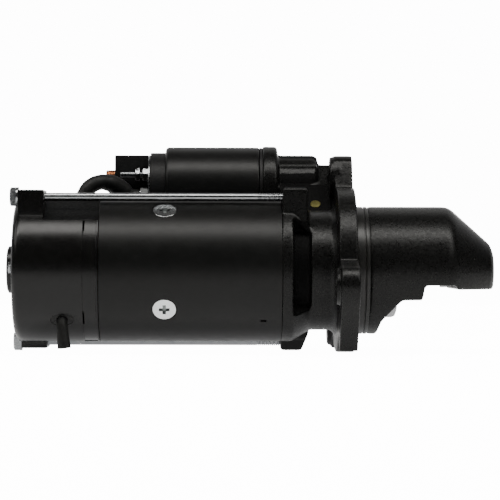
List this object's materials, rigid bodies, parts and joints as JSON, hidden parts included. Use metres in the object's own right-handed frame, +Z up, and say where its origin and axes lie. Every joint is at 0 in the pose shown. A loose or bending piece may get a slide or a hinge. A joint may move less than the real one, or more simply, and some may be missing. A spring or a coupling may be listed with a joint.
{
  "type": "starter motor",
  "caption": "Cylindrical engine starter motor with a piggyback solenoid, shift lever, sliding over-running pinion drive, open nose and an eared mounting flange.",
  "frame": {"origin": "on the shaft axis, in the plane of the mounting flange's engine face", "axes": "+X along the shaft towards the pinion nose, +Z up as pictured, +Y away from the picture's camera, where the solenoid lies"},
  "size_m": [0.3866, 0.2002, 0.1667],
  "materials": {
    "black cast iron": "black paint over sand-cast iron",
    "black painted steel": "satin black paint",
    "black painted aluminium": "semi-gloss black paint",
    "black moulded plastic": "moulded, matt black",
    "black rubber": "matt black",
    "zinc plated steel": "bright zinc",
    "yellow zinc plated steel": "yellow passivated zinc",
    "machined steel": "turned and ground steel",
    "laminated core steel": "pressed core steel",
    "copper": "bare copper",
    "brush carbon": "pressed copper and carbon",
    "sintered bronze": "oil-filled bronze",
    "varnished coil": "varnished copper turns"
  },
  "bodies": {
    "housing": {"battery_nut": "zinc plated steel", "battery_stud": "copper", "bearing_cap": "black painted aluminium", "brush_1": "brush carbon", "brush_2": "brush carbon", "brush_3": "brush carbon", "brush_4": "brush carbon", "brush_plate": "black moulded plastic", "brush_spring_1": "machined steel", "brush_spring_2": "machined steel", "brush_spring_3": "machined steel", "brush_spring_4": "machined steel", "cap_screw_1": "zinc plated steel", "cap_screw_2": "zinc plated steel", "centre_bearing_plate": "black cast iron", "centre_bush": "sintered bronze", "cover_band": "black painted aluminium", "drain_tube": "black rubber", "drive_end_housing": "black cast iron", "end_cover": "black painted aluminium", "field_winding": "varnished coil", "lead_boot": "black rubber", "lead_grommet": "black rubber", "motor_lead": "black rubber", "motor_nut": "zinc plated steel", "motor_stud": "copper", "nose_bush": "sintered bronze", "pivot_pin": "yellow zinc plated steel", "pole_screw_1": "zinc plated steel", "pole_screw_2": "zinc plated steel", "pole_screw_3": "zinc plated steel", "pole_screw_4": "zinc plated steel", "pole_shoe_1": "laminated core steel", "pole_shoe_2": "laminated core steel", "pole_shoe_3": "laminated core steel", "pole_shoe_4": "laminated core steel", "rear_bush": "sintered bronze", "solenoid_can": "black painted steel", "solenoid_cap": "black moulded plastic", "solenoid_core": "machined steel", "solenoid_gasket": "black rubber", "solenoid_winding": "varnished coil", "terminal_cover": "black moulded plastic", "terminal_plate": "zinc plated steel", "through_bolt_1": "zinc plated steel", "through_bolt_2": "zinc plated steel", "trigger_nut": "zinc plated steel", "trigger_stud": "zinc plated steel", "yoke": "black painted steel"},
    "armature": {"armature_shaft": "machined steel", "armature_core": "laminated core steel", "armature_winding": "copper", "commutator": "copper", "stop_ring": "machined steel"},
    "drive": {"clutch_shell": "machined steel"},
    "pinion": {"pinion": "machined steel"},
    "plunger": {"plunger": "machined steel", "return_spring": "machined steel"},
    "lever": {"shift_lever": "machined steel"},
    "contact": {"moving_contact": "copper"}
  },
  "joints": [
    {"name": "armature_spin", "type": "hinge", "parent": "housing", "child": "armature", "pos_m": [0, 0, 0], "axis": [1, 0, 0], "continuous": true},
    {"name": "drive_slide", "type": "slide", "parent": "armature", "child": "drive", "axis": [1, 0, 0], "range_m": [0, 0.0158]},
    {"name": "pinion_overrun", "type": "hinge", "parent": "drive", "child": "pinion", "pos_m": [0, 0, 0], "axis": [1, 0, 0], "continuous": true},
    {"name": "plunger_slide", "type": "slide", "parent": "housing", "child": "plunger", "axis": [-1, 0, 0], "range_m": [0, 0.0132], "stiffness_N_per_m": 1200, "springref_m": -0.02, "deforming": ["return_spring"]},
    {"name": "lever_swing", "type": "hinge", "parent": "housing", "child": "lever", "pos_m": [-0.0296, 0.03585, 0.03486], "axis": [0, -0.6972, 0.7169], "range_deg": [0, 18.2]},
    {"name": "contact_slide", "type": "slide", "parent": "housing", "child": "contact", "axis": [-1, 0, 0], "range_m": [0, 0.0026]}
  ],
  "couplings": [
    {"joint": "drive_slide", "follows": "plunger_slide", "ratio": 1.1969},
    {"joint": "lever_swing", "follows": "plunger_slide", "rad_per_m": 24.06},
    {"joint": "contact_slide", "follows": "plunger_slide", "ratio": 0.1969}
  ]
}
